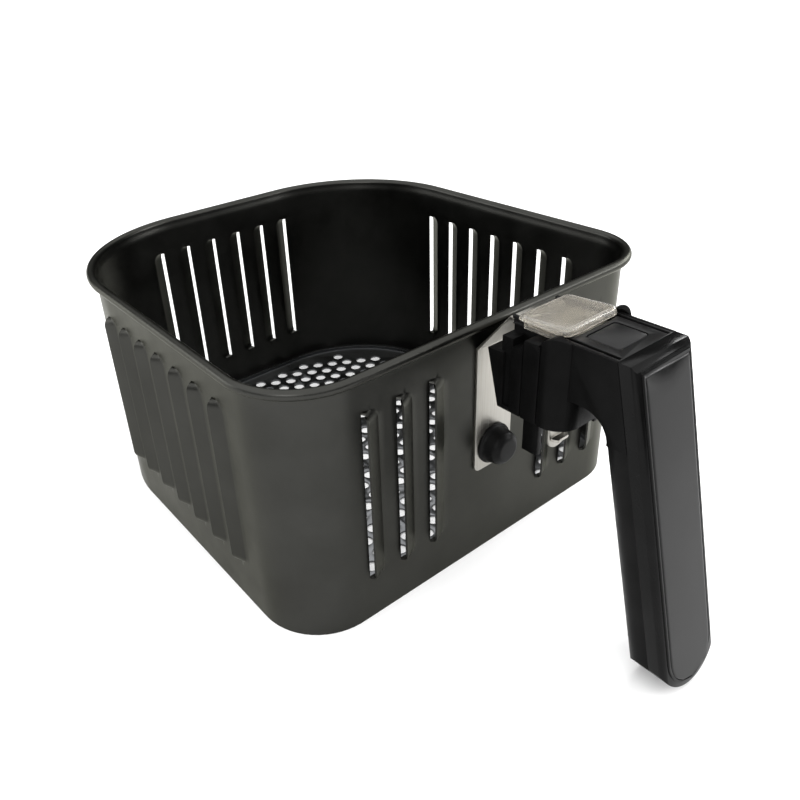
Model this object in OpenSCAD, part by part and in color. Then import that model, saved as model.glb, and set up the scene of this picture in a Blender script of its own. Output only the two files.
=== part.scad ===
// Removable air fryer basket with an upright handle: louvred sheet-metal
// basket, perforated floor, steel bracket, and a plastic handle that holds a
// release button, its sliding guard and a sprung latch.
// +X is to the right, +Y points away from the handle, +Z is up.
// The origin is the middle of the basket's underside.

/* [Basket] */
// Half the basket's width, to the outside of the wall
half_w = 103.2; // [90:0.1:115]
// Half the basket's depth, to the outside of the wall
half_d = 105.8; // [92:0.1:118]
// Height of the middle of the rolled rim
rim_z = 116.4; // [110:0.1:118]
// Outside radius of the two corners by the handle
front_r = 29.5; // [20:0.5:40]
// Outside radius of the two far corners
rear_r = 68; // [40:0.5:75]
// Thickness of the basket's sheet
sheet_t = 0.9; // [0.6:0.1:1.5]
// Radius of the rolled rim
rim_r = 2.1; // [1.5:0.1:3]
// How far the rim's middle lies outside the wall
rim_out = 1.8; // [1:0.1:2.4]

/* [Louvres] */
// Distance between neighbouring louvres
louvre_pitch = 16.66; // [14:0.01:18]
// Length of one louvre
louvre_len = 80; // [50:1:85]
// Height of a louvre's lower end
louvre_z = 21; // [15:0.5:28]
// Width of a louvre's hood, from its root to its lip
hood_w = 7; // [5:0.1:8]
// How far a hood's lip stands out of the wall
hood_h = 3.1; // [2:0.1:3.5]
// Width of the slot in front of the lip
slot_w = 1.5; // [1:0.1:3]

/* [Floor] */
// Distance between neighbouring floor holes
hole_pitch = 9.8; // [9:0.1:12]
// Radius of a floor hole
hole_r = 3.25; // [2:0.1:3.6]
// Plain margin between the wall and the field of holes
hole_margin = 12; // [8:0.5:20]
// Height of the turned-up edge of the floor
floor_lip = 3; // [2:0.1:5]

/* [Bracket and bumper] */
// Half the width of the steel bracket
bracket_half_w = 10.8; // [8:0.1:12]
// Thickness of the bracket's steel
bracket_t = 1.2; // [1:0.1:1.2]
// Height of the bracket's lower end
bracket_z = 46; // [35:0.5:50]
// Height of the bumper's middle
bumper_z = 57; // [56:0.5:62]
// Radius of the bumper's base
bumper_r = 9.3; // [8:0.1:10]

/* [Handle] */
// Half the width of the latch housing
housing_half_w = 20.4; // [20:0.1:22]
// Half the width of the neck
neck_half_w = 16.2; // [16.2:0.05:16.3]
// Half the width of the grip
grip_half_w = 16; // [15.5:0.1:16]
// Height of the neck's top
neck_top = 127.6; // [127.6:0.1:128]
// Lean of the grip from upright, in degrees
grip_lean = 13.7; // [10:0.1:15]
// Thickness of the grip, front to back
grip_t = 17.3; // [16:0.1:19]
// Depth of the grip's front cover
cover_t = 6.4; // [6:0.1:7]
// Height of the grip's lowest point
grip_low = 2.2; // [2.2:0.1:12]

/* [Controls] */
// Width of the release button
button_w = 16.4; // [14:0.1:16.4]
// Depth of the release button
button_d = 13.4; // [11:0.1:13.4]
// Length of the sliding guard
guard_len = 22.9; // [20:0.1:23]
// Height of the guard's front end above the neck
guard_h = 4.1; // [3.8:0.1:4.6]

/* [Hidden] */
$fn = 64;
eps = 0.01;
// The wall's outer face on the handle side
wall_y = -half_d;
bracket_y = wall_y - bracket_t;
// Rows of louvres: the place of the first lip and how many there are
side_row = [-58.7, 7];
rear_row = [-45.5, 6];
front_left_row = [-68, 3];
front_right_row = [32.8, 3];
// Underside of the bracket's level arm, and the bracket's knee and elbow
arm_z = 124.4;
knee_z = 105.5;
elbow_y = -122.5;
arm_end_y = -149.5;
arm_screw_x = 6.5;
housing_screw_y = -129.5;
body_screw_y = -145.5;
screw_r = 1.5;
screw_hole_r = 1.7;
// Latch housing
housing_z = 93;
housing_front_y = -156;
housing_front_r = 9.5;
ear_r = 6.2;
ear_mid = [-150, 122.6];
housing_wall = 1.8;
shoulder_z = 122;
// Latch
pivot = [-143.3, 113.5];
pin_r = 1.5;
pin_play = 0.06;
pin_half = housing_half_w - 0.8;
leg_t = 2.2;
leg_out = housing_half_w - housing_wall - 0.4;
leg_y = [-144.4, -137.4];
leg_z = 78.2;
rib_x = 13;
rib_t = 2;
// Neck and the release button
neck_rear_y = -150;
neck_z = 106;
seam_y = -171.4;
front_y = seam_y - cover_t / cos(grip_lean);
deck_rear_y = -151.2;
deck_floor_z = 122.8;
deck_top = neck_top - 0.1;
rail_x = 12.5;
button_y = -160;
stem_r = 2.6;
stem_low = 112.5;
seat_z = 114.8;
flange_z = 120.4;
// Grip, in its own leaning frame: y runs into the grip from its front face
grip_end_r = 18.3;
grip_len = (neck_top - grip_low) / cos(grip_lean);
grip_wall = 2.4;
cover_edge_r = 2.4;
cover_chamfer = 2.6;
panel_half_w = 12.2;
panel_top = -3.8;
lip_w = 1.1;
boss_z = [-35, -96];
boss_r = 3.3;

// ---------- shared shapes ----------

// Outline of the basket, grown outwards by the given amount
module basket_outline(grow) {
    w = half_w + grow;
    d = half_d + grow;
    fr = front_r + grow;
    rr = rear_r + grow;
    translate([-w + fr, -d])
        square([2 * (w - fr), 2 * d - rr]);
    translate([-w + rr, -d + fr])
        square([2 * (w - rr), 2 * d - fr]);
    translate([-w, -d + fr])
        square([2 * w, 2 * d - fr - rr]);
    for (s = [-1, 1]) {
        translate([s * (w - fr), -d + fr])
            circle(fr);
        translate([s * (w - rr), d - rr])
            circle(rr, $fn = 96);
    }
}

// Rectangle centred on x = 0 with rounded corners, from y0 up to y1
module round_rect(half, y0, y1, r) {
    translate([-half + r, y0])
        square([2 * (half - r), y1 - y0]);
    translate([-half, y0 + r])
        square([2 * half, y1 - y0 - 2 * r]);
    for (s = [-1, 1], y = [y0 + r, y1 - r])
        translate([s * (half - r), y])
            circle(r);
}

// A side view, drawn as [y, z], given thickness from x0 to x1
module across(x0, x1) {
    translate([x0, 0, 0])
        rotate([90, 0, 90])
            linear_extrude(x1 - x0)
                children();
}

// Moves a shape into the leaning frame of the grip
module lean() {
    translate([0, front_y, neck_top])
        rotate([-grip_lean, 0, 0])
            children();
}

// ---------- basket ----------

// Quarter-turn of the rolled rim
module rim_corner(x, y, r, turn) {
    translate([x, y, rim_z])
        rotate([0, 0, turn])
            rotate_extrude(angle = 90, $fn = 96)
                translate([r, 0])
                    circle(rim_r, $fn = 32);
}

// Straight stretch of the rolled rim
module rim_bar(x, y, len, turn) {
    translate([x, y, rim_z])
        rotate([0, 0, turn])
            rotate([0, 90, 0])
                cylinder(h = len, r = rim_r, $fn = 32);
}

module rolled_rim() {
    w = half_w + rim_out;
    d = half_d + rim_out;
    fr = front_r + rim_out;
    rr = rear_r + rim_out;
    rim_corner(w - rr, d - rr, rr, 0);
    rim_corner(-w + rr, d - rr, rr, 90);
    rim_corner(-w + fr, -d + fr, fr, 180);
    rim_corner(w - fr, -d + fr, fr, 270);
    rim_bar(-w + rr, d, 2 * (w - rr), 0);
    rim_bar(-w + fr, -d, 2 * (w - fr), 0);
    rim_bar(-w, -d + fr, 2 * d - fr - rr, 90);
    rim_bar(w, -d + fr, 2 * d - fr - rr, 90);
}

// Places a louvre: x runs along the wall towards its lip, y out of the wall
module on_wall(side, place) {
    if (side == "left")
        translate([-half_w, place, 0])
            rotate([0, 0, 90])
                children();
    if (side == "right")
        translate([half_w, place, 0])
            mirror([1, 0, 0])
                rotate([0, 0, 90])
                    children();
    if (side == "rear")
        translate([place, half_d, 0])
            children();
    if (side == "front")
        translate([place, -half_d, 0])
            rotate([0, 0, 180])
                children();
}

module all_louvres() {
    for (side = ["left", "right"], i = [0:side_row[1] - 1])
        on_wall(side, side_row[0] + i * louvre_pitch)
            children();
    for (i = [0:rear_row[1] - 1])
        on_wall("rear", rear_row[0] + i * louvre_pitch)
            children();
    for (row = [front_left_row, front_right_row], i = [0:row[1] - 1])
        on_wall("front", row[0] + i * louvre_pitch)
            children();
}

// Arched section of a hood: its lip is at x = 0, its root at x = -hood_w
module hood_section() {
    arc_r = (hood_w * hood_w + hood_h * hood_h) / (2 * hood_h);
    intersection() {
        translate([0, hood_h - arc_r])
            difference() {
                circle(arc_r);
                circle(arc_r - sheet_t);
            }
        translate([-hood_w, -sheet_t])
            square([hood_w, hood_h + 2 * sheet_t]);
    }
}

// Quarter dome that closes one end of a hood
module hood_end() {
    rotate([-90, 0, 0])
        rotate_extrude(angle = 90)
            mirror([1, 0])
                hood_section();
}

module louvre_hood() {
    translate([0, 0, louvre_z + hood_w])
        linear_extrude(louvre_len - 2 * hood_w)
            hood_section();
    translate([0, 0, louvre_z + louvre_len - hood_w])
        rotate([0, 180, 0])
            hood_end();
    translate([0, 0, louvre_z + hood_w])
        rotate([0, 90, 0])
            hood_end();
}

// What is cut out of the wall for one louvre: the hood's inside and the slot
module louvre_cut() {
    under_r = hood_w - 0.8;
    mid = louvre_len - 2 * hood_w;
    translate([0, 0.5, louvre_z + hood_w])
        rotate([90, 0, 0])
            linear_extrude(sheet_t + 1)
                intersection() {
                    union() {
                        translate([-under_r, 0])
                            square([2 * under_r, mid]);
                        circle(under_r);
                        translate([0, mid])
                            circle(under_r);
                    }
                    translate([-under_r - 1, -under_r - 1])
                        square([under_r + 1 + slot_w, mid + 2 * under_r + 2]);
                }
}

module basket_wall() {
    color([0.09, 0.088, 0.084]) {
        difference() {
            linear_extrude(rim_z)
                difference() {
                    basket_outline(0);
                    basket_outline(-sheet_t);
                }
            all_louvres()
                louvre_cut();
        }
        all_louvres()
            louvre_hood();
        rolled_rim();
    }
}

// Centres of the floor holes: staggered columns that leave the very middle plain
module floor_holes() {
    column = hole_pitch * cos(30);
    x_max = half_w - hole_margin;
    y_max = half_d - hole_margin;
    corner = [x_max - (rear_r - hole_margin), y_max - (rear_r - hole_margin)];
    near = [x_max - (front_r - hole_margin), y_max - (front_r - hole_margin)];
    for (i = [-12:12], j = [-11:11]) {
        x = i * column;
        y = (j + (i % 2 == 0 ? 0.5 : 0)) * hole_pitch;
        in_rect = abs(x) <= x_max && abs(y) <= y_max;
        past_rear = abs(x) > corner[0] && y > corner[1]
            && norm([abs(x), y] - corner) > rear_r - hole_margin;
        past_front = abs(x) > near[0] && -y > near[1]
            && norm([abs(x), -y] - near) > front_r - hole_margin;
        if (in_rect && !past_rear && !past_front)
            translate([x, y])
                circle(hole_r, $fn = 24);
    }
}

module basket_floor() {
    color([0.2, 0.21, 0.22]) {
        linear_extrude(sheet_t)
            difference() {
                basket_outline(-sheet_t);
                floor_holes();
            }
        linear_extrude(floor_lip)
            difference() {
                basket_outline(-sheet_t);
                basket_outline(-sheet_t - 1.5);
            }
    }
}

// ---------- bracket and bumper ----------

module bracket_plate() {
    slope = atan2(arm_z + bracket_t / 2 - knee_z, wall_y - elbow_y);
    color([0.72, 0.71, 0.68])
        difference() {
            union() {
                translate([0, wall_y, 0])
                    rotate([90, 0, 0])
                        linear_extrude(bracket_t) {
                            round_rect(bracket_half_w, bracket_z, bracket_z + 20, 3);
                            translate([-bracket_half_w, bracket_z + 10])
                                square([2 * bracket_half_w, knee_z - bracket_z - 10]);
                        }
                across(-bracket_half_w, bracket_half_w) {
                    polygon([[wall_y, knee_z - 1], [wall_y, knee_z + 0.4],
                        [elbow_y, arm_z + bracket_t], [arm_end_y, arm_z + bracket_t],
                        [arm_end_y, arm_z], [elbow_y + 0.4, arm_z],
                        [bracket_y, knee_z], [bracket_y, knee_z - 1]]);
                }
            }
            for (x = [-arm_screw_x, arm_screw_x], y = [housing_screw_y, body_screw_y])
                translate([x, y, arm_z - 1])
                    cylinder(h = 4, r = screw_hole_r);
        }
}

// Welded stud that the bumper is pushed on to
module bumper_stud() {
    color([0.6, 0.6, 0.6])
        translate([0, bracket_y, bumper_z])
            rotate([90, 0, 0])
                cylinder(h = 5, r = 2);
}

module rubber_bumper() {
    color([0.03, 0.03, 0.03])
        translate([0, bracket_y, bumper_z])
            rotate([90, 0, 0])
                rotate_extrude()
                    polygon([[2, 0], [bumper_r, 0], [bumper_r, 1.2], [bumper_r - 0.8, 2],
                        [bumper_r - 1.8, 7], [bumper_r - 2.6, 8.2], [bumper_r - 4, 8.8],
                        [0, 8.8], [0, 5], [2, 5]]);
}

// ---------- handle ----------

// Side view of the housing, from the slanted rear wall to the rounded ears
module housing_side() {
    polygon([[-126.4, housing_z], [-120.8, 115.8], [-128.2, 116.2], [-131.6, 119.6],
        [-136, 120.2], [-137.6, 124.4], [-143.8, 124.8], [-143.8, 122.6],
        [housing_front_y, 122.6], [housing_front_y, housing_z]]);
    translate(ear_mid)
        circle(ear_r);
}

module housing_shell() {
    intersection() {
        across(-housing_half_w, housing_half_w)
            housing_side();
        translate([0, 0, housing_z - 1])
            linear_extrude(40) {
                round_rect(housing_half_w, housing_front_y - eps, -130, housing_front_r);
                translate([-housing_half_w, -140])
                    square([2 * housing_half_w, 25]);
            }
    }
    // Pad under the bracket's arm, and the shoulders beside it
    translate([-12.4, -149.9, 112])
        cube([24.8, 23.9, arm_z - 112]);
    for (s = [-1, 1])
        translate([s * 15.4 - 3.2, -131, 114])
            cube([6.4, 5, shoulder_z - 114]);
}

module latch_housing() {
    inner_half = housing_half_w - housing_wall;
    color([0.035, 0.035, 0.035])
        difference() {
            union() {
                difference() {
                    housing_shell();
                    // Hollow inside
                    intersection() {
                        across(-inner_half, inner_half)
                            polygon([[-128.6, housing_z - 1], [-124.2, 110], [-130, 113],
                                [-136, 117.5], [housing_front_y, 117.5],
                                [housing_front_y, housing_z - 1]]);
                        translate([0, 0, housing_z - 2])
                            linear_extrude(40)
                                round_rect(inner_half, housing_front_y + 2.2, -100,
                                    housing_front_r - housing_wall);
                    }
                }
                // Ribs that hold the pivot pin
                for (s = [-1, 1])
                    translate([s * rib_x - rib_t / 2, -147, 108.5])
                        cube([rib_t, 7.4, 9.1]);
            }
            // Channel for the arm, and the pocket for the body's tongue
            translate([-12.5, deck_rear_y, arm_z])
                cube([25, 35, 10]);
            translate([-10.05, -160, 119.55])
                cube([20.1, 18.5, 10]);
            // Way through for the guard and for the neck
            translate([-15.3, -160, arm_z + 0.2])
                cube([30.6, 32.5, 10]);
            translate([-neck_half_w - 0.05, -160, neck_z - 0.05])
                cube([2 * neck_half_w + 0.1, 160 + neck_rear_y + 0.05, 30]);
            // Groove and parting line down each side
            for (s = [-1, 1]) {
                translate([s * (housing_half_w + 0.3) - 1.5, -132, housing_z + 1.6])
                    cube([3, 3.6, 30]);
                translate([s * housing_half_w - 0.4, -137.4, housing_z - 1])
                    cube([0.8, 0.5, 40]);
                translate([s * housing_half_w - 0.5, -145, housing_z - 1])
                    cube([1, 0.7, 33]);
            }
            // Pivot bore and screw holes
            translate([-pin_half - 0.1, pivot[0], pivot[1]])
                rotate([0, 90, 0])
                    cylinder(h = 2 * pin_half + 0.2, r = pin_r);
            for (x = [-arm_screw_x, arm_screw_x], y = [housing_screw_y, body_screw_y])
                translate([x, y, 117.6])
                    cylinder(h = 10, r = screw_r);
        }
}

// Side view of the neck with its curved underside, running on into the grip
module neck_side() {
    curve_r = 10.4;
    curve = [-160.8, neck_z - curve_r];
    lean_out = (neck_top - curve[1]) * tan(grip_lean);
    difference() {
        polygon([[neck_rear_y, neck_top], [seam_y - 3, neck_top],
            [seam_y - 3 - lean_out, curve[1]],
            curve, [curve[0], neck_z], [neck_rear_y, neck_z]]);
        translate(curve)
            circle(curve_r);
    }
}

// Everything above the grip's rounded lower end
module grip_bounds() {
    end_mid = grip_low + grip_end_r;
    translate([0, -160, 0])
        rotate([90, 0, 0])
            linear_extrude(80) {
                translate([0, end_mid])
                    circle(grip_end_r, $fn = 96);
                translate([-grip_end_r, end_mid])
                    square([2 * grip_end_r, neck_top - end_mid]);
            }
}

// Strip with a half-round lower end, in the plane of the grip's front
module strip(half, top, low) {
    translate([-half, low + half])
        square([2 * half, top - low - half]);
    translate([0, low + half])
        circle(half);
}

// Inner shell of the grip, with its two back edges rounded
module grip_shell(edge_r) {
    intersection() {
        lean()
            translate([0, 0, -grip_len - 8])
                linear_extrude(grip_len + 14) {
                    translate([-grip_half_w, cover_t - 3])
                        square([2 * grip_half_w, grip_t - cover_t - edge_r + 3]);
                    round_rect(grip_half_w, grip_t - 2 * edge_r - 1, grip_t, edge_r);
                }
        grip_bounds();
    }
}

module handle_body() {
    color([0.03, 0.03, 0.03])
        difference() {
            union() {
                across(-neck_half_w, neck_half_w)
                    neck_side();
                difference() {
                    grip_shell(6.9);
                    translate([-30, -190, neck_z + 2])
                        cube([60, 60, 40]);
                }
                // Tongue that is screwed under the bracket's arm
                translate([-10, -152.3, 119.6])
                    cube([20, 10.7, arm_z - 0.05 - 119.6]);
            }
            // Flat seam where the cover goes on
            lean()
                translate([-30, cover_t - 40, -160])
                    cube([60, 40, 180]);
            // Hollow neck, open to the housing
            difference() {
                translate([-14.4, -169, neck_z + 1.6])
                    cube([28.8, 17.5, deck_floor_z - neck_z - 1.6]);
                // Seat of the button's spring
                translate([-15, -166.4, seat_z - 1.2])
                    cube([30, 12.2, 1.2]);
                translate([-10, -152.3, 119.6])
                    cube([20, 10.7, 8]);
            }
            translate([-9, -152, neck_z + 2])
                cube([18, 4, 10.5]);
            translate([0, button_y, seat_z - 2])
                cylinder(h = 3, r = stem_r + 0.4);
            // Pocket for the deck
            translate([-15, seam_y + 0.1, deck_floor_z - 0.05])
                cube([30, deck_rear_y - seam_y, 8]);
            translate([-14.1, deck_rear_y - 1, arm_z])
                cube([28.2, 6, 8]);
            // Hollow grip
            lean()
                difference() {
                    translate([1.2 + grip_wall - grip_half_w, cover_t - 1, 18 - grip_len])
                        cube([2 * (grip_half_w - grip_wall - 1.2), grip_t - cover_t - 1.8, grip_len - 42]);
                    for (z = boss_z)
                        translate([0, grip_t, z])
                            rotate([90, 0, 0])
                                cylinder(h = grip_t - cover_t + 0.05, r = boss_r);
                }
            lean()
                for (z = boss_z)
                    translate([0, grip_t - 3, z])
                        rotate([90, 0, 0])
                            cylinder(h = grip_t, r = 1.25);
            for (x = [-arm_screw_x, arm_screw_x])
                translate([x, body_screw_y, 117.6])
                    cylinder(h = 10, r = screw_r);
        }
}

module grip_cover() {
    lip_half = panel_half_w + 0.2;
    lip_low = 1.2 - grip_len;
    color([0.03, 0.03, 0.03])
        difference() {
            intersection() {
                lean()
                    difference() {
                        union() {
                            intersection() {
                                translate([0, 0, -grip_len - 2])
                                    linear_extrude(grip_len + 8)
                                        round_rect(grip_half_w, 0, cover_t + 6, cover_edge_r);
                                translate([-20, -1, -grip_len - 3])
                                    cube([40, cover_t + 1, grip_len + 10]);
                            }
                            // Raised lip round the panel
                            translate([0, 1, 0])
                                rotate([90, 0, 0])
                                    linear_extrude(1.5)
                                        strip(lip_half + lip_w, panel_top + lip_w + 0.2, lip_low);
                        }
                        // Recess for the panel
                        translate([0, 1.2, 0])
                            rotate([90, 0, 0])
                                linear_extrude(4)
                                    strip(lip_half, panel_top + 0.2, lip_low + lip_w);
                        // Hollow behind
                        difference() {
                            translate([-grip_half_w + grip_wall, grip_wall, 18 - grip_len])
                                cube([2 * (grip_half_w - grip_wall), cover_t, grip_len - 26]);
                            for (z = boss_z)
                                translate([0, cover_t, z])
                                    rotate([90, 0, 0])
                                        cylinder(h = cover_t, r = boss_r);
                        }
                        // Screw holes, countersunk under the panel
                        for (z = boss_z)
                            translate([0, cover_t + 1, z])
                                rotate([90, 0, 0]) {
                                    cylinder(h = cover_t + 2, r = 1.4);
                                    translate([0, 0, 4.2])
                                        cylinder(h = 6, r = 2.8);
                                }
                    }
                grip_bounds();
            }
            // Chamfer along the top of the front
            translate([-20, front_y, neck_top])
                rotate([45, 0, 0])
                    translate([0, -cover_chamfer / 2, -cover_chamfer / 2])
                        cube([40, cover_chamfer, cover_chamfer]);
        }
}

module grip_panel() {
    color([0.02, 0.02, 0.02])
        lean()
            translate([0, 1.2, 0])
                rotate([90, 0, 0])
                    linear_extrude(1.9)
                        strip(panel_half_w, panel_top, lip_w + 1.4 - grip_len);
}

// Undercut groove that the guard's feet run in, as a front view
module groove_section() {
    for (s = [0, 1])
        mirror([s, 0])
            polygon([[11.7, arm_z + 0.1], [14.1, arm_z + 0.1], [14.1, neck_top + 1],
                [rail_x, neck_top + 1], [rail_x, 126.4], [11.7, 126.4]]);
}

module top_deck() {
    rear = -125;
    color([0.035, 0.035, 0.035])
        difference() {
            union() {
                translate([-14.95, seam_y + 0.15, deck_floor_z])
                    cube([29.9, deck_rear_y - seam_y - 0.2, deck_top - deck_floor_z]);
                // Rails either side of the bracket's arm
                for (s = [-1, 1])
                    translate([s * 11.8 - 0.7, deck_rear_y - 1, arm_z + 0.02])
                        cube([1.4, rear - deck_rear_y + 1, deck_top - arm_z - 0.02]);
            }
            translate([0, rear + 1, 0])
                rotate([90, 0, 0])
                    linear_extrude(rear + 1 - seam_y - 0.8)
                        groove_section();
            translate([0, 0, deck_floor_z - 1])
                linear_extrude(10)
                    round_rect(button_w / 2 + 0.3, button_y - button_d / 2 - 0.3,
                        button_y + button_d / 2 + 0.3, 1.8);
        }
}

module release_button() {
    color([0.04, 0.04, 0.04]) {
        translate([0, 0, flange_z])
            linear_extrude(neck_top - 0.2 - flange_z)
                round_rect(button_w / 2, button_y - button_d / 2, button_y + button_d / 2, 1.5);
        translate([0, 0, flange_z])
            linear_extrude(deck_floor_z - 0.35 - flange_z)
                round_rect(button_w / 2 + 1.4, button_y - button_d / 2 - 0.7,
                    button_y + button_d / 2 + 0.6, 1.5);
        translate([0, button_y, stem_low])
            cylinder(h = flange_z - stem_low + 0.5, r = stem_r);
    }
}

// Closed wire along a helix about +Z, from z0 up to z1
module coil_wire(coil_r, wire_r, turns, z0, z1) {
    steps = 16;
    sides = 8;
    rings = ceil(turns * steps);
    climb = (z1 - z0 - 2 * wire_r) / rings;
    points = [for (i = [0:rings], k = [0:sides - 1])
        let (a = 360 * i / steps, b = 360 * k / sides, r = coil_r + wire_r * cos(b))
        [r * cos(a), r * sin(a), z0 + wire_r + i * climb + wire_r * sin(b)]];
    walls = [for (i = [0:rings - 1], k = [0:sides - 1])
        let (n = (k + 1) % sides)
        [i * sides + k, i * sides + n, (i + 1) * sides + n, (i + 1) * sides + k]];
    ends = [[for (k = [sides - 1:-1:0]) k], [for (k = [0:sides - 1]) rings * sides + k]];
    polyhedron(points = points, faces = concat(walls, ends));
}

module button_spring() {
    color([0.7, 0.7, 0.72])
        translate([0, button_y, 0])
            coil_wire(3.9, 0.35, 3.5, seat_z + 0.05, flange_z - 0.05);
}

// Clear arched cover that slides forward over the button
module slide_guard() {
    rear = -128;
    front = rear - guard_len;
    low = neck_top + 0.35;
    half = 14.9;
    crown_r = 56;
    tilt = -4.5;
    wall = 1.3;
    color([0.75, 0.73, 0.68, 0.5]) {
        difference() {
            intersection() {
                translate([-half, front, low])
                    cube([2 * half, guard_len, 8]);
                translate([0, front, neck_top + guard_h - crown_r])
                    rotate([tilt, 0, 0])
                        rotate([-90, 0, 0])
                            translate([0, 0, -30])
                                cylinder(h = 90, r = crown_r, $fn = 128);
            }
            intersection() {
                translate([wall - half, front + wall, low - 1])
                    cube([2 * (half - wall), guard_len - 2 * wall, 8]);
                translate([0, front, neck_top + guard_h - crown_r])
                    rotate([tilt, 0, 0])
                        rotate([-90, 0, 0])
                            translate([0, 0, -30])
                                cylinder(h = 90, r = crown_r - wall, $fn = 128);
            }
        }
        // Hooked feet
        for (s = [0, 1])
            mirror([s, 0, 0])
                translate([0, rear - 0.3, 0])
                    rotate([90, 0, 0])
                        linear_extrude(guard_len - 0.6)
                            polygon([[12.05, 124.9], [13.75, 124.9], [13.75, low + 0.2],
                                [12.85, low + 0.2], [12.85, 125.9], [12.05, 125.9]]);
    }
}

// ---------- latch ----------

module latch_lever() {
    bar_y = [-146.8, -139.8];
    hub_r = 3.5;
    hub_half = rib_x - rib_t / 2 - 0.3;
    color([0.03, 0.03, 0.03])
        difference() {
            union() {
                for (s = [-1, 1])
                    across(s * (leg_out - leg_t / 2) - leg_t / 2, s * (leg_out - leg_t / 2) + leg_t / 2) {
                        translate([leg_y[0], leg_z])
                            square([leg_y[1] - leg_y[0], pivot[1] - leg_z]);
                        translate(pivot)
                            circle(hub_r);
                    }
                across(-leg_out, leg_out)
                    translate([bar_y[0], 96])
                        square([bar_y[1] - bar_y[0], 6]);
                across(-hub_half, hub_half) {
                    translate([bar_y[0] + 0.4, 101])
                        square([6.2, pivot[1] - 101]);
                    translate(pivot)
                        circle(hub_r);
                }
                // Tongue under the button's stem
                translate([-4.5, -161, 110.6])
                    cube([9, 18, 1.2]);
            }
            translate([-30, pivot[0], pivot[1]])
                rotate([0, 90, 0])
                    cylinder(h = 60, r = pin_r + pin_play);
            translate([0, -150, 98.5])
                rotate([-90, 0, 0])
                    cylinder(h = 20, r = 1.6);
        }
}

// Steel tongue that catches in the pan
module latch_hook() {
    color([0.72, 0.71, 0.68])
        difference() {
            union() {
                translate([0, -138.6, 0])
                    rotate([90, 0, 0])
                        linear_extrude(bracket_t)
                            round_rect(5.5, 72, 101.5, 5);
                // Catch, turned outwards
                intersection() {
                    translate([-4, -142.6, 76])
                        cube([8, 3.5, 1.2]);
                    translate([0, -139.6, 70])
                        cylinder(h = 20, r = 4.2);
                }
            }
            translate([0, -150, 98.5])
                rotate([-90, 0, 0])
                    cylinder(h = 20, r = 1.6);
        }
}

module hook_rivet() {
    color([0.6, 0.6, 0.6])
        translate([0, -138.6, 98.5])
            rotate([90, 0, 0]) {
                cylinder(h = 8.2, r = 1.6);
                translate([0, 0, -1])
                    cylinder(h = 1, r = 2.8);
            }
}

module pivot_pin() {
    color([0.6, 0.6, 0.6])
        translate([-pin_half, pivot[0], pivot[1]])
            rotate([0, 90, 0])
                cylinder(h = 2 * pin_half, r = pin_r);
}

// Return spring, wound round the pivot pin between a rib and a leg
module lever_spring() {
    color([0.7, 0.7, 0.72])
        translate([0, pivot[0], pivot[1]])
            rotate([0, 90, 0])
                coil_wire(2.2, 0.3, 1.5, rib_x + rib_t / 2 + 0.35, leg_out - leg_t - 0.05);
}

// ---------- screws ----------

module bracket_screws() {
    top = arm_z + bracket_t;
    color([0.55, 0.55, 0.56])
        for (x = [-arm_screw_x, arm_screw_x], y = [housing_screw_y, body_screw_y])
            translate([x, y, 0])
                difference() {
                    union() {
                        translate([0, 0, 118])
                            cylinder(h = top - 118 + 0.5, r = screw_r);
                        translate([0, 0, top])
                            cylinder(h = 1.5, r = 2.9);
                    }
                    for (a = [0, 90])
                        rotate([0, 0, a])
                            translate([-1.8, -0.35, top + 0.7])
                                cube([3.6, 0.7, 2]);
                }
}

module cover_screws() {
    color([0.55, 0.55, 0.56])
        lean()
            for (z = boss_z)
                translate([0, grip_t - 4, z])
                    rotate([90, 0, 0]) {
                        cylinder(h = grip_t - 5.2, r = 1.25);
                        translate([0, 0, grip_t - 6.9])
                            cylinder(h = 1.5, r = 2.5);
                    }
}

basket_wall();
basket_floor();
bracket_plate();
bumper_stud();
rubber_bumper();
latch_housing();
handle_body();
grip_cover();
grip_panel();
top_deck();
release_button();
button_spring();
slide_guard();
latch_lever();
latch_hook();
hook_rivet();
pivot_pin();
lever_spring();
bracket_screws();
cover_screws();
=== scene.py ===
"""Looks of a removable air fryer basket: coated louvred sheet metal, a perforated floor, a brushed steel
bracket, and a black handle with a clear guard over its release button. Metres, in the CAD part's frame."""

import math

import bmesh
import bpy
from mathutils import Matrix, Vector


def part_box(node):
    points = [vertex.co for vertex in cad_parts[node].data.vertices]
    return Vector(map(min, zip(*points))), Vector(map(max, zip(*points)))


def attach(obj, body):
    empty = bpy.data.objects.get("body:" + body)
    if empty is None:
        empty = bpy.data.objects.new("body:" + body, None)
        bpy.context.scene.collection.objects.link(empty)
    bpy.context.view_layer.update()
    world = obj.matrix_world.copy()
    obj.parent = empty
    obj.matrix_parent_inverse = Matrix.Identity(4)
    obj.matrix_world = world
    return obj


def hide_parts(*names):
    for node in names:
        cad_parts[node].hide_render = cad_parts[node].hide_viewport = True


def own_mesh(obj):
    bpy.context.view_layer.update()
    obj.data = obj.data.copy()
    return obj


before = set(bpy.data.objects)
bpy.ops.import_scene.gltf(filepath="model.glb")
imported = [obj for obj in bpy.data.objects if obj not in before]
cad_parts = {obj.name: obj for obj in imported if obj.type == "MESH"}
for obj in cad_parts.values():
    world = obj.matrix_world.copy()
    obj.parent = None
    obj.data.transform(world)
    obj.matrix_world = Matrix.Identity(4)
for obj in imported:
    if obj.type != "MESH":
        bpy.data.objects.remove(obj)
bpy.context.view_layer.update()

MM = 0.001

# ---------- sizes, from the CAD boxes and the basket's own design ----------

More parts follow.
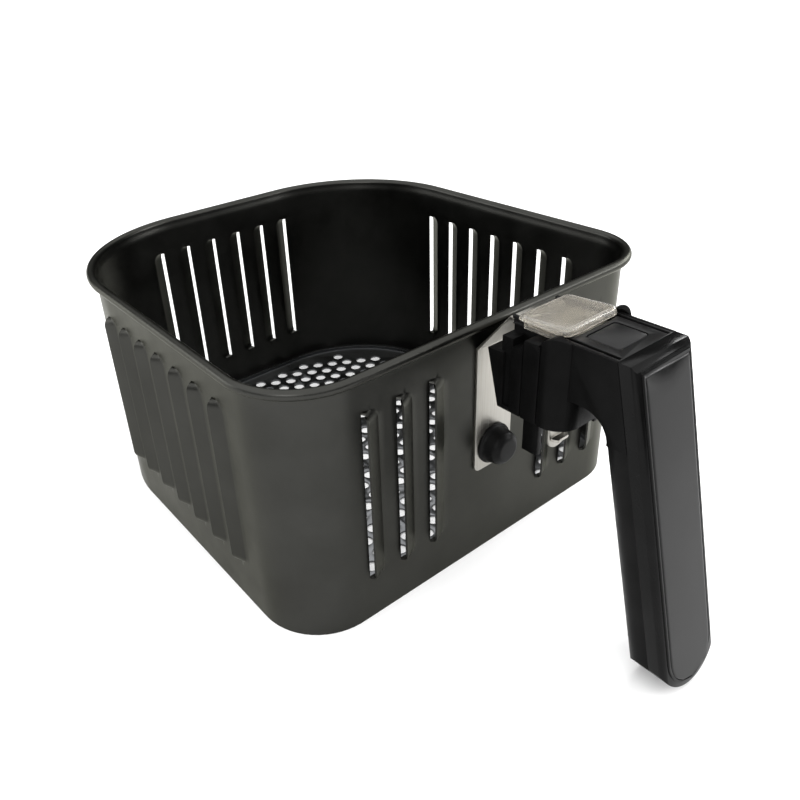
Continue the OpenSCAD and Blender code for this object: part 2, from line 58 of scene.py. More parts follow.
wall_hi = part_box("basket_wall")[1]
floor_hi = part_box("basket_floor")[1]
SHEET = 0.9 * MM
HALF_W = floor_hi.x + SHEET           # to the outside of the wall
HALF_D = floor_hi.y + SHEET
FRONT_R = 29.5 * MM
REAR_R = 68 * MM
RIM_R = 2.1 * MM
RIM_Z = wall_hi.z - RIM_R
RIM_OUT = wall_hi.x - HALF_W - RIM_R
LOUVRE_PITCH = 16.66 * MM
LOUVRE_LOW = 21 * MM
LOUVRE_HIGH = 101 * MM
HOOD_W = 7 * MM
HOOD_H = 3.1 * MM
HOOD_END = 4.5 * MM
SLOT_W = 1.05 * MM                    # narrower than the CAD's slit of 1.5 mm, for looks only
HOOD_EASE = 0.12                      # part of a hood's slope that eases into the wall
SIDE_FIRST, SIDE_COUNT = -58.7 * MM, 7
REAR_FIRST, REAR_COUNT = -45.5 * MM, 6
FRONT_FIRSTS, FRONT_COUNT = (-68 * MM, 32.8 * MM), 3
PLAIN_GAP = 3.2 * MM                  # widest column of the wall's mesh between louvres
FLARE_Z = 112 * MM                    # where the wall starts to widen into the rolled rim
CURL_TURN = math.radians(292)
PANEL_LEAN = math.radians(13.7)
PANEL_DEPTH = 1.9 * MM


# ---------- small helpers ----------

def new_object(name, mesh):
    """A new object in the scene that shows the mesh."""
    obj = bpy.data.objects.new(name, mesh)
    bpy.context.scene.collection.objects.link(obj)
    return obj


def mesh_object(name, points, faces, smooth=True):
    """A new object made of points and of faces, which list points by number."""
    mesh = bpy.data.meshes.new(name)
    mesh.from_pydata([tuple(p) for p in points], [], faces)
    mesh.validate()
    mesh.update()
    mesh.shade_smooth() if smooth else mesh.shade_flat()
    return new_object(name, mesh)


def smooth_by_angle(obj, degrees):
    """Smooth shading with sharp edges where two faces meet at more than the angle."""
    obj.data.shade_smooth()
    obj.data.set_sharp_from_angle(angle=math.radians(degrees))


def apply_modifiers(obj):
    """Turns what the object's modifiers show into its own mesh."""
    graph = bpy.context.evaluated_depsgraph_get()
    graph.update()
    made = bpy.data.meshes.new_from_object(obj.evaluated_get(graph), depsgraph=graph)
    obj.modifiers.clear()
    obj.data = made


def fix_normals(obj):
    """Turns every face of a closed shape outwards."""
    bm = bmesh.new()
    bm.from_mesh(obj.data)
    bmesh.ops.recalc_face_normals(bm, faces=bm.faces)
    bm.to_mesh(obj.data)
    bm.free()


def solidify(obj, name, thickness, even=False):
    """Gives a sheet its thickness, inwards from the modelled face."""
    solid = obj.modifiers.new(name, "SOLIDIFY")
    solid.thickness = thickness
    solid.offset = -1
    if even:
        solid.use_even_offset = True
        solid.use_quality_normals = True
    apply_modifiers(obj)


def move_to(obj, centre, axis):
    """Moves a shape built about z to a centre, with its z axis turned to the given axis."""
    turn = Vector(axis).to_track_quat("Z", "Y").to_matrix().to_4x4()
    obj.data.transform(Matrix.Translation(centre) @ turn)


def middle(lo, hi):
    return [(a + b) / 2 for a, b in zip(lo, hi)]


def finish_piece(obj, body, slot, material, *nodes):
    """Gives a piece its material, hides the CAD nodes it replaces, and parents it to the body it rides."""
    obj.data.materials.clear()
    obj.data.materials.append(material)
    if nodes:
        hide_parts(*nodes)
    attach(obj, body)
    return obj


def cad_copy(node, name):
    """The CAD node's mesh as a new piece, with its flat faces joined up again."""
    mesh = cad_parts[node].data.copy()
    mesh.materials.clear()
    obj = new_object(name, mesh)
    bm = bmesh.new()
    bm.from_mesh(mesh)
    bmesh.ops.remove_doubles(bm, verts=bm.verts, dist=2e-6)
    bmesh.ops.dissolve_limit(bm, angle_limit=math.radians(0.6), verts=bm.verts, edges=bm.edges)
    bm.to_mesh(mesh)
    bm.free()
    return obj


def soften(obj, width, angle=28):
    """Rounds every edge sharper than the angle, as moulding and tumbling do."""
    bevel = obj.modifiers.new("bevel", "BEVEL")
    bevel.width = width
    bevel.segments = 2
    bevel.limit_method = "ANGLE"
    bevel.angle_limit = math.radians(angle)
    bevel.miter_outer = "MITER_ARC"
    apply_modifiers(obj)
    smooth_by_angle(obj, 34)
    return obj


# ---------- materials ----------

class Nodes:
    """A material's node tree, written as calls."""

    def __init__(self, name):
        self.material = bpy.data.materials.new(name)
        self.material.use_nodes = True
        self.tree = self.material.node_tree
        self.shader = self.tree.nodes["Principled BSDF"]
        self.place = self.add("ShaderNodeTexCoord").outputs["Object"]

    def add(self, kind, **values):
        node = self.tree.nodes.new(kind)
        for key, value in values.items():
            setattr(node, key, value)
        return node

    def link(self, a, b):
        self.tree.links.new(a, b)

    def put(self, socket, value):
        self.shader.inputs[socket].default_value = value

    def stretched(self, x, y, z):
        mapping = self.add("ShaderNodeMapping")
        mapping.inputs["Scale"].default_value = (x, y, z)
        self.link(self.place, mapping.inputs["Vector"])
        return mapping.outputs["Vector"]

    def noise(self, scale, detail=3.0, rough=0.55, vector=None):
        node = self.add("ShaderNodeTexNoise")
        node.inputs["Scale"].default_value = scale
        node.inputs["Detail"].default_value = detail
        node.inputs["Roughness"].default_value = rough
        self.link(vector or self.place, node.inputs["Vector"])
        return node.outputs["Fac"]

    def ramp(self, fac, low, high, at=(0.3, 0.7)):
        node = self.add("ShaderNodeMapRange")
        node.inputs["From Min"].default_value = at[0]
        node.inputs["From Max"].default_value = at[1]
        node.inputs["To Min"].default_value = low
        node.inputs["To Max"].default_value = high
        self.link(fac, node.inputs["Value"])
        return node.outputs["Result"]

    def blend(self, fac, a, b):
        node = self.add("ShaderNodeMix", data_type="RGBA")
        self.link(fac, node.inputs["Factor"])
        for socket, value in ((node.inputs["A"], a), (node.inputs["B"], b)):
            if isinstance(value, tuple):
                socket.default_value = (*value, 1)
            else:
                self.link(value, socket)
        return node.outputs["Result"]

    def colour(self, fac, a, b, at=(0.3, 0.7)):
        self.link(self.blend(self.ramp(fac, 0, 1, at), a, b), self.shader.inputs["Base Color"])

    def rough(self, fac, low, high):
        self.link(self.ramp(fac, low, high), self.shader.inputs["Roughness"])

    def bump(self, fac, distance, strength=1.0, under=None):
        node = self.add("ShaderNodeBump")
        node.inputs["Distance"].default_value = distance
        node.inputs["Strength"].default_value = strength
        self.link(fac, node.inputs["Height"])
        if under is not None:
            self.link(under, node.inputs["Normal"])
        self.link(node.outputs["Normal"], self.shader.inputs["Normal"])
        return node.outputs["Normal"]


def coated_sheet(name, dark, light, rough):
    """Satin non-stick coating: fine orange peel over sheet metal, with faint cloudy wear."""
    m = Nodes(name)
    clouds = m.noise(26, 4)
    m.colour(clouds, dark, light)
    m.rough(m.noise(60, 5), rough - 0.04, rough + 0.05)
    m.put("Metallic", 1.0)
    m.put("Specular Tint", (0.7, 0.7, 0.66, 1))
    peel = m.bump(m.noise(900, 2), 0.00004, 0.35)
    m.bump(m.noise(3200, 2), 0.00002, 0.35, peel)
    return m.material


def brushed_steel(name):
    """Stainless steel with brush lines up and down."""
    m = Nodes(name)
    fine, long = 2600, 34
    lines = m.noise(1, 4, 0.6, m.stretched(fine, fine, long))
    m.colour(lines, (0.27, 0.26, 0.236), (0.38, 0.367, 0.335), (0.25, 0.75))
    m.rough(lines, 0.26, 0.42)
    m.put("Metallic", 1.0)
    m.put("Anisotropic", 0.4)
    m.bump(lines, 0.00003, 0.5)
    return m.material


def turned_steel(name, level):
    """Plain or plated steel with fine random tool marks, its grey level given."""
    m = Nodes(name)
    rings = m.noise(1800, 4)
    m.colour(rings, (level * 0.8,) * 3, (level,) * 3)
    m.rough(m.noise(300, 3), 0.24, 0.4)
    m.put("Metallic", 1.0)
    m.bump(rings, 0.00002, 0.4)
    return m.material


def moulded_plastic(name, dark, light, rough, sheen, grain, depth):
    """Black moulded plastic: a fine spark-eroded grain, and grey levels from dark to light."""
    m = Nodes(name)
    m.put("Specular IOR Level", sheen)
    m.colour(m.noise(70, 4), (dark,) * 3, (light,) * 3)
    m.rough(m.noise(180, 4), rough - 0.05, rough + 0.05)
    m.bump(m.noise(grain, 2), depth, 0.5)
    return m.material


def gloss_plastic(name):
    """Polished black inlay: a clear coat with faint wipe marks and a slow waviness."""
    m = Nodes(name)
    m.colour(m.noise(40, 3), (0.005,) * 3, (0.008,) * 3)
    wipes = m.noise(1, 4, 0.6, m.stretched(160, 160, 30))
    m.rough(wipes, 0.16, 0.26)
    m.put("Specular IOR Level", 0.1)
    m.put("Coat Weight", 0.06)
    m.put("Coat Roughness", 0.08)
    m.bump(m.noise(55, 1), 0.0002, 0.2)
    return m.material


def moulded_rubber(name):
    """Dull black rubber with a fine grain."""
    m = Nodes(name)
    m.colour(m.noise(120, 4), (0.004,) * 3, (0.007,) * 3)
    m.put("Specular IOR Level", 0.06)
    m.rough(m.noise(240, 4), 0.3, 0.44)
    m.bump(m.noise(2400, 2), 0.00003, 0.4)
    return m.material


def clear_plastic(name):
    """Clear, lightly smoked plastic with hairline scuffs."""
    m = Nodes(name)
    m.colour(m.noise(60, 3), (0.79, 0.75, 0.665), (0.85, 0.81, 0.73))
    scuffs = m.noise(1, 3, 0.6, m.stretched(500, 60, 500))
    m.rough(scuffs, 0.15, 0.22)
    m.put("Transmission Weight", 0.9)
    m.put("IOR", 1.45)
    m.bump(m.noise(240, 2), 0.00001, 0.08)
    return m.material


def spring_wire(name):
    """Bright drawn wire."""
    m = Nodes(name)
    draw = m.noise(900, 3)
    m.colour(draw, (0.52, 0.52, 0.53), (0.7, 0.7, 0.71))
    m.rough(draw, 0.14, 0.26)
    m.put("Metallic", 1.0)
    m.bump(draw, 0.00001, 0.3)
    return m.material


# ---------- the basket ----------

def outline(width, depth, front_r, rear_r):
    """The basket's outline, counter-clockwise from the middle of the front, and its whole length.
    Each stretch is (start, length, kind, data)."""
    straight_w_front = width - front_r
    side = 2 * depth - front_r - rear_r
    quarter = math.pi / 2
    parts = []
    at = 0.0

    def line(x, y, dx, dy, length):
        nonlocal at
        parts.append((at, length, "line", (x, y, dx, dy)))
        at += length

    def arc(x, y, r, turn):
        nonlocal at
        parts.append((at, r * quarter, "arc", (x, y, r, turn)))
        at += r * quarter

    line(0, -depth, 1, 0, straight_w_front)
    arc(width - front_r, -depth + front_r, front_r, -quarter)
    line(width, -depth + front_r, 0, 1, side)
    arc(width - rear_r, depth - rear_r, rear_r, 0)
    line(width - rear_r, depth, -1, 0, 2 * (width - rear_r))
    arc(-width + rear_r, depth - rear_r, rear_r, quarter)
    line(-width, depth - rear_r, 0, -1, side)
    arc(-width + front_r, -depth + front_r, front_r, 2 * quarter)
    line(-width + front_r, -depth, 1, 0, straight_w_front)
    return parts, at


WALL, AROUND = outline(HALF_W, HALF_D, FRONT_R, REAR_R)


def wall_point(s):
    """Place and outward direction on the wall's outer face, s metres from the middle of the front."""
    s = s % AROUND
    for start, length, kind, data in reversed(WALL):
        if s >= start - 1e-9:
            run = s - start
            if kind == "line":
                x, y, dx, dy = data
                return (x + dx * run, y + dy * run), (dy, -dx)
            x, y, r, turn = data
            a = turn + run / r
            return (x + r * math.cos(a), y + r * math.sin(a)), (math.cos(a), math.sin(a))
    raise ValueError(s)


def louvres():
    """(place of the lip round the wall, +1 if the slot lies further round and -1 if not)."""
    right_start, left_start, rear_start = WALL[2][0], WALL[6][0], WALL[4][0]
    found = []
    for i in range(SIDE_COUNT):
        y = SIDE_FIRST + i * LOUVRE_PITCH
        found.append((right_start + y + HALF_D - FRONT_R, 1))
        found.append((left_start + HALF_D - REAR_R - y, -1))
    for i in range(REAR_COUNT):
        found.append((rear_start + HALF_W - REAR_R - REAR_FIRST - i * LOUVRE_PITCH, -1))
    for first in FRONT_FIRSTS:
        for i in range(FRONT_COUNT):
            found.append(((first + i * LOUVRE_PITCH) % AROUND, -1))
    return sorted(found)


def hood_height(across, z):
    """How far a hood stands out, across metres from its lip towards its root."""
    past = max(LOUVRE_LOW + HOOD_END - z, z - LOUVRE_HIGH + HOOD_END, 0.0) / HOOD_END
    if past >= 1:
        return 0.0
    dome = math.sqrt(1 - past * past)
    slope = max(0.0, 1 - across / (HOOD_W * (0.35 + 0.65 * dome)))
    eased = slope if slope > HOOD_EASE else slope * slope / (2 * HOOD_EASE) + slope / 2
    return HOOD_H * dome * eased


def wall_columns():
    """Places round the wall for the mesh's columns, each with its louvre if it is on one."""
    steps = 12
    columns = []
    for lip, side in louvres():
        columns.append((lip + side * SLOT_W, None, "slot"))
        for i in range(steps + 1):
            across = HOOD_W * i / steps
            columns.append((lip - side * across, across, "hood"))
    taken = sorted(c[0] % AROUND for c in columns)
    plain = []
    for a, b in zip(taken, taken[1:] + [taken[0] + AROUND]):
        n = int((b - a) / PLAIN_GAP)
        plain += [((a + (b - a) * k / (n + 1)) % AROUND, None, "plain") for k in range(1, n + 1)]
    return sorted([(s % AROUND, across, kind) for s, across, kind in columns + plain])


def wall_rows():
    """(distance out of the wall, height) for each row, from the floor up and over the rolled rim."""
    low, high = LOUVRE_LOW, LOUVRE_HIGH
    end = [HOOD_END * (1 - math.cos(math.pi / 2 * i / 8)) for i in range(9)]
    levels = [0.0, 0.6 * MM, 4 * MM, 9 * MM, 14 * MM, 18 * MM]
    levels += [low + e for e in end]
    levels += [low + HOOD_END + (high - low - 2 * HOOD_END) * i / 8 for i in range(1, 8)]
    levels += [high - e for e in reversed(end)]
    levels += [103.5 * MM, 107 * MM, 110.5 * MM]
    rows = [(0.0, z) for z in levels]
    curl = RIM_R - SHEET
    flare = RIM_OUT - curl
    for i in range(7):
        t = i / 6
        rows.append((flare * t * t * (3 - 2 * t), FLARE_Z + (RIM_Z - FLARE_Z) * t))
    for i in range(1, 17):
        a = math.pi - CURL_TURN * i / 16
        rows.append((RIM_OUT + curl * math.cos(a), RIM_Z + curl * math.sin(a)))
    return rows


def basket_wall(material):
    """The louvred wall with its rolled rim, as one bent sheet."""
    columns, rows = wall_columns(), wall_rows()
    points = []
    for s, across, kind in columns:
        (x, y), (nx, ny) = wall_point(s)
        for out, z in rows:
            rise = hood_height(across, z) if across is not None else 0.0
            points.append((x + nx * (out + rise), y + ny * (out + rise), z))
    n, faces = len(rows), []
    count = len(columns)
    slot_inset = 0.7 * MM
    slot_low, slot_high = LOUVRE_LOW + slot_inset, LOUVRE_HIGH - slot_inset
    for i in range(count):
        k = (i + 1) % count
        a, b = columns[i], columns[k]
        open_here = {a[2], b[2]} == {"slot", "hood"} and 0.0 in (a[1], b[1])
        for j in range(n - 1):
            low, high = rows[j][1], rows[j + 1][1]
            if open_here and low >= slot_low - 1e-6 and high <= slot_high + 1e-6:
                continue
            faces.append((i * n + j, k * n + j, k * n + j + 1, i * n + j + 1))
    obj = mesh_object("coated_wall", points, faces)
    solidify(obj, "sheet", SHEET, even=True)
    smooth_by_angle(obj, 40)
    return finish_piece(obj, "basket", "wall_coating", material, "basket_wall")


def basket_floor(material):
    """The perforated sheet with its turned-up edge."""
    obj = cad_copy("basket_floor", "perforated_floor")
    soften(obj, 0.18 * MM, 35)
    return finish_piece(obj, "basket", "floor_coating", material, "basket_floor")


def floor_edge(material):
    """A wire ring, 0.9 mm thick, that was meant as the floor's bright edge. It is in no CAD node, and it
    lies inside the floor's turned-up lip, where it can't be seen."""
    wire_r, sides = 0.45 * MM, 8
    inset = SHEET + wire_r + 0.1 * MM
    z = floor_hi.z - wire_r
    places = 360
    points, faces = [], []
    for i in range(places):
        (x, y), (nx, ny) = wall_point(AROUND * i / places)
        for k in range(sides):
            a = 2 * math.pi * k / sides
            out = wire_r * math.cos(a) - inset
            points.append((x + nx * out, y + ny * out, z + wire_r * math.sin(a)))
    for i in range(places):
        n = (i + 1) % places
        for k in range(sides):
            m = (k + 1) % sides
            faces.append((i * sides + k, n * sides + k, n * sides + m, i * sides + m))
    obj = mesh_object("floor_edge", points, faces)
    fix_normals(obj)
    return finish_piece(obj, "basket", "plain_steel", material)


# ---------- bracket, bumper and handle ----------

def plain_cad(node, name, width, slot, material, body="basket"):
    """A piece whose CAD shape is right: its edges are rounded and it gets its finish."""
    obj = soften(cad_copy(node, name), width)
    return finish_piece(obj, body, slot, material, node)


def turned(name, profile, centre, axis, steps=72):
    """A solid turned about an axis: profile is (distance along it, radius) from one end to the other."""
    points, faces = [], []
    for i in range(steps):
        a = 2 * math.pi * i / steps
        for along, r in profile:
            points.append((r * math.cos(a), r * math.sin(a), along))
    n = len(profile)
    for i in range(steps):
        k = (i + 1) % steps
        for j in range(n - 1):
            faces.append((i * n + j, k * n + j, k * n + j + 1, i * n + j + 1))
    faces.append([i * n for i in reversed(range(steps))])
    faces.append([i * n + n - 1 for i in range(steps)])
    obj = mesh_object(name, points, faces)
    move_to(obj, centre, axis)
    return obj


def rounded(points, r, steps=5):
    """The outline with each inner corner replaced by an arc-like curve of about radius r."""
    out = [points[0]]
    for a, b, c in zip(points, points[1:], points[2:]):
        a, b, c = Vector(a), Vector(b), Vector(c)
        start = b + (a - b).normalized() * min(r, (a - b).length * 0.45)
        end = b + (c - b).normalized() * min(r, (c - b).length * 0.45)
        for i in range(steps + 1):
            t = i / steps
            out.append(tuple(start * (1 - t) ** 2 + b * 2 * t * (1 - t) + end * t * t))
    return out + [points[-1]]


def rubber_bumper(material):
    """The domed bumper on its flange, turned about the stud."""
    lo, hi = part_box("rubber_bumper")
    r = (hi.x - lo.x) / 2
    deep = hi.y - lo.y
    profile = [(0, 0.1 * MM), (0, r - 0.3 * MM), (0.2 * MM, r), (1.2 * MM, r), (1.7 * MM, r - 0.9 * MM),
               (deep - 1.8 * MM, r - 1.9 * MM), (deep, r - 4 * MM), (deep, 0.1 * MM)]
    mid_x, _, mid_z = middle(lo, hi)
    centre = (mid_x, hi.y, mid_z)
    obj = turned("bumper", rounded(profile, 0.9 * MM), centre, (0, -1, 0))
    smooth_by_angle(obj, 50)
    return finish_piece(obj, "basket", "bumper_rubber", material, "rubber_bumper")


def helix(name, centre, axis, coil_r, wire_r, turns, length, sides=12, per_turn=40):
    """A coil of round wire with flat ends."""
    rings = int(turns * per_turn)
    points, faces = [], []
    for i in range(rings + 1):
        a = 2 * math.pi * i / per_turn
        rise = wire_r + (length - 2 * wire_r) * i / rings
        mid = Vector((coil_r * math.cos(a), coil_r * math.sin(a), rise))
        out = Vector((math.cos(a), math.sin(a), 0))
        for k in range(sides):
            b = 2 * math.pi * k / sides
            points.append(mid + out * wire_r * math.cos(b) + Vector((0, 0, wire_r * math.sin(b))))
    for i in range(rings):
        for k in range(sides):
            n = (k + 1) % sides
            faces.append((i * sides + k, i * sides + n, (i + 1) * sides + n, (i + 1) * sides + k))
    faces.append(list(range(sides))[::-1])
    faces.append([rings * sides + k for k in range(sides)])
    obj = mesh_object(name, points, faces)
    move_to(obj, centre, axis)
    return obj


def springs(material):
    """The button's upright coil and the lever's short one, each built as one fixed coil; nothing here
    shortens the button's coil as it is pressed.
    """
    lo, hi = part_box("button_spring")
    mid_x, mid_y, _ = middle(lo, hi)
    coil = helix("button_coil", (mid_x, mid_y, lo.z), (0, 0, 1), coil_r=3.9 * MM, wire_r=0.35 * MM,
                 turns=3.5, length=hi.z - lo.z)
    finish_piece(coil, "basket", "spring_steel", material, "button_spring")
    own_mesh(coil)
    lo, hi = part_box("lever_spring")
    _, mid_y, mid_z = middle(lo, hi)
    coil = helix("lever_coil", (lo.x, mid_y, mid_z), (1, 0, 0), coil_r=2.2 * MM, wire_r=0.3 * MM,
                 turns=1.5, length=hi.x - lo.x)
    finish_piece(coil, "basket", "spring_steel", material, "lever_spring")


def inlay_panel(material):
    """The polished inlay: a half-round lower end, and a top that curves back into its lip."""
    lo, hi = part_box("grip_panel")
    half = hi.x
    down = Vector((0, -math.sin(PANEL_LEAN), -math.cos(PANEL_LEAN)))
    inward = Vector((0, math.cos(PANEL_LEAN), -math.sin(PANEL_LEAN)))
    foot_rise = PANEL_DEPTH * math.sin(PANEL_LEAN)
    length = (hi.z - lo.z - foot_rise) / math.cos(PANEL_LEAN)
    top = Vector((0, lo.y, lo.z + foot_rise)) - down * length
    curve_run, curve_side, curve_bend = 10 * MM, 3 * MM, 13    # the top's curve back into the lip
    edge_w, edge_sink = 0.6 * MM, 0.25 * MM                    # the rounding of the inlay's border
    across_steps, along_steps = 24, 90
    points, faces = [], []
    for j in range(along_steps + 1):
        t = (j / along_steps) ** 1.25
        run = length * t
        past = max(0.0, run - (length - half))
        width = math.sqrt(max(half * half - past * past, 1e-10))
        for i in range(across_steps + 1):
            u = -math.cos(math.pi * i / across_steps)
            x = width * u
            start = curve_run - 0.035 * (x + curve_side) ** 2 / MM
            sunk = curve_bend * max(0.0, start - run) ** 2
            edge = min(run, half * (1 - abs(u)), edge_w) / edge_w
            sunk += edge_sink * (1 - min(max(edge, 0.0), 1.0)) ** 2
            points.append(top + down * run + inward * sunk + Vector((x, 0, 0)))
    row = across_steps + 1
    for j in range(along_steps):
        for i in range(across_steps):
            faces.append((j * row + i, (j + 1) * row + i, (j + 1) * row + i + 1, j * row + i + 1))
    obj = mesh_object("inlay", points, faces)
    solidify(obj, "depth", 0.5 * MM)
    fix_normals(obj)
    smooth_by_angle(obj, 40)
    return finish_piece(obj, "basket", "panel_plastic", material, "grip_panel")


def rounded_outline(half, y0, y1, r, inset, per_corner=10):
    """Outline of a rectangle centred on x = 0 with rounded corners, moved inwards by inset."""
    r_in = max(r - inset, 0.05 * MM)
    corners = ((half - r, y1 - r, 0), (r - half, y1 - r, 90),
               (r - half, y0 + r, 180), (half - r, y0 + r, 270))
    points = []
    for cx, cy, turn in corners:
        if inset > r:
            cx -= math.copysign(inset - r, cx)
            cy -= math.copysign(inset - r, cy - (y0 + y1) / 2)
        for i in range(per_corner + 1):
            a = math.radians(turn + 90 * i / per_corner)
            points.append((cx + r_in * math.cos(a), cy + r_in * math.sin(a)))
    return points


def guard_shell(material):
    """The clear sliding guard: a crowned shell with rounded corners, on two hooked feet."""
    lo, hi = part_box("slide_guard")
    inside = 0.02 * MM                     # how far the look stays within the CAD's box
    half = hi.x - inside
    rear, front = hi.y - inside, lo.y + inside
    top = hi.z - 0.05 * MM
    low = lo.z + 3.05 * MM                 # the shell's lower edge, above its feet
    corner, edge, wall = 3.4 * MM, 1.7 * MM, 1.1 * MM
    back_drop, crown_r = 1.9 * MM, 85 * MM

    def crown(x, y):
        back = (y - front) / (rear - front)
        return top - back_drop * back - x * x / (2 * crown_r)

    rings = []
    for i in range(7):
        a = math.pi / 2 * i / 6
        inset = edge * (1 - math.cos(a))
        rings.append([(x, y, low + (crown(x, y) - low) * math.sin(a))
                      for x, y in rounded_outline(half, front, rear, corner, inset)])
    for inset in (2.6, 4, 6, 8, 10, 11.2):
        rings.append([(x, y, crown(x, y)) for x, y in rounded_outline(half, front, rear, corner, inset * MM)])
    n = len(rings[0])
    points = [p for ring in rings for p in ring]
    faces = [(j * n + i, j * n + (i + 1) % n, (j + 1) * n + (i + 1) % n, (j + 1) * n + i)
             for j in range(len(rings) - 1) for i in range(n)]
    faces.append([(len(rings) - 1) * n + i for i in range(n)])
    shell = mesh_object("guard_cover", points, faces)
    solidify(shell, "wall", wall)
    smooth_by_angle(shell, 40)
    finish_piece(shell, "guard", "clear_guard", material, "slide_guard")
    foot = [(12.05, 0), (13.75, 0), (13.75, 3.35), (12.85, 3.35), (12.85, 1), (12.05, 1)]
    for side, name in ((-1, "guard_foot_left"), (1, "guard_foot_right")):
        section = [(side * x * MM, lo.z + z * MM) for x, z in foot]
        ends = [[(x, y, z) for x, z in section] for y in (front + corner, rear - corner)]
        m = len(section)
        faces = [(i, (i + 1) % m, m + (i + 1) % m, m + i) for i in range(m)]
        faces += [list(range(m)), list(range(m, 2 * m))]
        obj = mesh_object(name, ends[0] + ends[1], faces, smooth=False)
        fix_normals(obj)
        finish_piece(obj, "guard", "clear_guard", material)


# ---------- the stage ----------

def add_camera():
    """Looks down at the basket from in front and to its left."""
    place = Vector((-0.207075, -0.290331, 0.247075))
    heading, down, roll = 0.62987, 0.50723, -0.06442
    ahead = Vector((math.sin(heading) * math.cos(down), math.cos(heading) * math.cos(down), -math.sin(down)))
    right = Vector((math.cos(heading), -math.sin(heading), 0))
    up = right.cross(ahead)
    across = right * math.cos(roll) + up * math.sin(roll)
    upward = up * math.cos(roll) - right * math.sin(roll)
    data = bpy.data.cameras.new("camera")
    data.sensor_width = 36
    data.lens = 34.333
    data.shift_x, data.shift_y = 0.0625, -0.0375
    data.clip_start, data.clip_end = 0.01, 20
    camera = bpy.data.objects.new("camera", data)
    turn = Matrix((across, upward, -ahead)).transposed()
    camera.matrix_world = Matrix.Translation(place) @ turn.to_4x4()
    bpy.context.scene.collection.objects.link(camera)
    bpy.context.scene.camera = camera


def add_card(name, place, target, size, power):
    """A flat soft light at a place, facing a target."""
    data = bpy.data.lights.new(name, "AREA")
    data.shape = "RECTANGLE"
    data.size, data.size_y = size
    data.energy = power
    light = bpy.data.objects.new(name, data)
    light.location = place
    light.rotation_euler = (Vector(target) - Vector(place)).to_track_quat("-Z", "Y").to_euler()
    bpy.context.scene.collection.objects.link(light)


def add_sky_light(name, toward, strength, spread):
    """A very soft, even light over the whole floor, from the given direction."""
    data = bpy.data.lights.new(name, "SUN")
    data.energy = strength
    data.angle = math.radians(spread)
    light = bpy.data.objects.new(name, data)
    light.rotation_euler = Vector(toward).to_track_quat("Z", "Y").to_euler()
    bpy.context.scene.collection.objects.link(light)


def add_stage():
    """A pale paper floor, a dark room that leaves the inside dark, and soft lights."""
    m = Nodes("paper")
    m.colour(m.noise(3, 3), (0.93, 0.93, 0.93), (0.95, 0.95, 0.95))
    m.rough(m.noise(20, 3), 0.7, 0.85)
    m.bump(m.noise(600, 2), 0.00005, 0.2)
    size = 40.0
    floor = mesh_object("floor", [(-size, -size, 0), (size, -size, 0), (size, size, 0), (-size, size, 0)],
                        [(0, 1, 2, 3)], smooth=False)
    floor.data.materials.append(m.material)
    floor.location.z = -0.0001
    world = bpy.data.worlds.new("studio")
    world.use_nodes = True
    world.node_tree.nodes["Background"].inputs["Color"].default_value = (1, 1, 1, 1)
    world.node_tree.nodes["Background"].inputs["Strength"].default_value = 0.05
    bpy.context.scene.world = world
    bpy.context.scene.view_settings.view_transform = "Standard"
    add_sky_light("overhead", (-0.1, -0.1, 1), 5.2, 130)
    add_card("left_card", (-1.25, -0.9, 0.75), (0, 0, 0.06), (0.5, 0.4), 4.5)
    add_card("rear_left_card", (-0.9, 0.9, 0.34), (-0.1, 0, 0.08), (0.9, 0.5), 6)
    add_card("right_card", (1.05, -1.0, 0.5), (0, -0.18, 0.1), (0.45, 0.35), 6)
    add_card("floor_glow", (0.24, -0.14, 0.16), (0.17, -0.14, 0), (0.12, 0.1), 0.35)


# ---------- the whole object ----------

add_camera()
add_stage()

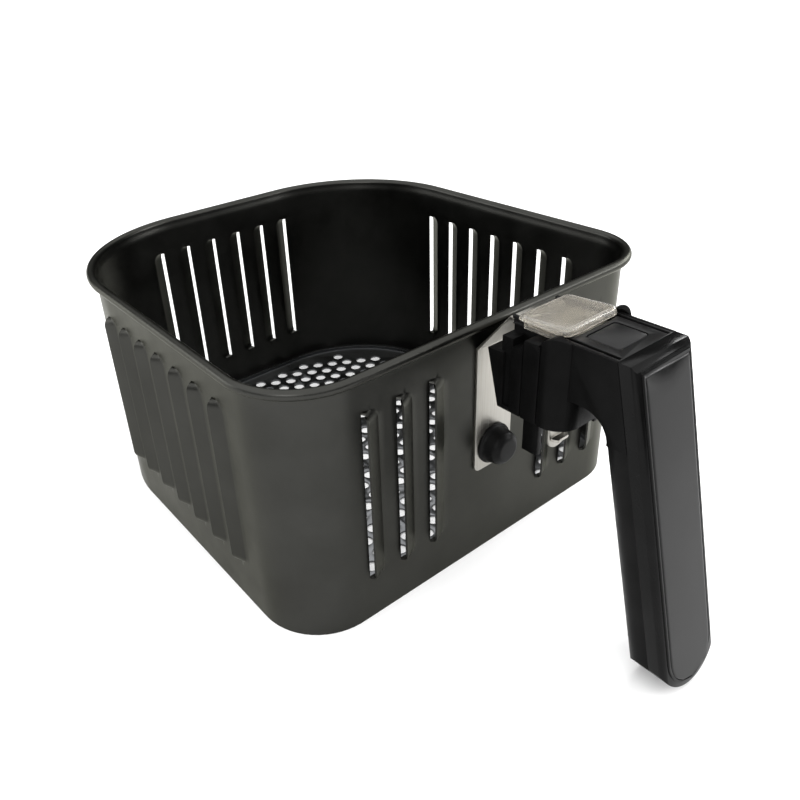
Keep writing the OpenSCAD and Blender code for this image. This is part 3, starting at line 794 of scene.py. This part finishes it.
wall_paint = coated_sheet("wall_coating", (0.0315, 0.0315, 0.029), (0.042, 0.042, 0.039), 0.33)
floor_paint = coated_sheet("floor_coating", (0.12, 0.123, 0.128), (0.16, 0.164, 0.17), 0.3)
brushed = brushed_steel("brushed_steel")
plain_steel = turned_steel("turned_steel", 0.56)
screw_steel = turned_steel("zinc_plate", 0.5)
housing_black = moulded_plastic("housing_plastic", 0.002, 0.004, 0.34, 0.03, 1600, 0.00004)
handle_black = moulded_plastic("handle_plastic", 0.002, 0.004, 0.36, 0.04, 2200, 0.00002)
cover_black = moulded_plastic("cover_plastic", 0.002, 0.004, 0.2, 0.08, 2200, 0.00002)
deck_black = moulded_plastic("deck_plastic", 0.004, 0.007, 0.34, 0.16, 1800, 0.00003)
button_black = moulded_plastic("button_plastic", 0.006, 0.01, 0.36, 0.16, 1800, 0.00003)
lever_black = moulded_plastic("lever_plastic", 0.002, 0.004, 0.34, 0.025, 1800, 0.00003)
panel_black = gloss_plastic("panel_plastic")
bumper_black = moulded_rubber("bumper_rubber")
guard_clear = clear_plastic("clear_guard")
wire = spring_wire("spring_steel")

basket_wall(wall_paint)
basket_floor(floor_paint)
floor_edge(plain_steel)
plain_cad("bracket_plate", "bracket", 0.25 * MM, "brushed_steel", brushed)
plain_cad("bumper_stud", "stud", 0.3 * MM, "plain_steel", plain_steel)
rubber_bumper(bumper_black)
plain_cad("latch_housing", "housing", 0.45 * MM, "housing_plastic", housing_black)
plain_cad("handle_body", "neck_and_grip", 0.5 * MM, "handle_plastic", handle_black)
plain_cad("grip_cover", "cover", 0.5 * MM, "cover_plastic", cover_black)
inlay_panel(panel_black)
plain_cad("top_deck", "deck", 0.25 * MM, "deck_plastic", deck_black)
plain_cad("release_button", "button_cap", 0.5 * MM, "button_plastic", button_black, "button")
guard_shell(guard_clear)
plain_cad("latch_lever", "lever", 0.4 * MM, "lever_plastic", lever_black, "lever")
plain_cad("latch_hook", "hook", 0.25 * MM, "brushed_steel", brushed, "lever")
plain_cad("hook_rivet", "rivet", 0.3 * MM, "plain_steel", plain_steel, "lever")
plain_cad("pivot_pin", "hinge_pin", 0.3 * MM, "plain_steel", plain_steel)
plain_cad("bracket_screws", "arm_screws", 0.2 * MM, "screw_steel", screw_steel)
plain_cad("cover_screws", "panel_screws", 0.25 * MM, "screw_steel", screw_steel)
springs(wire)
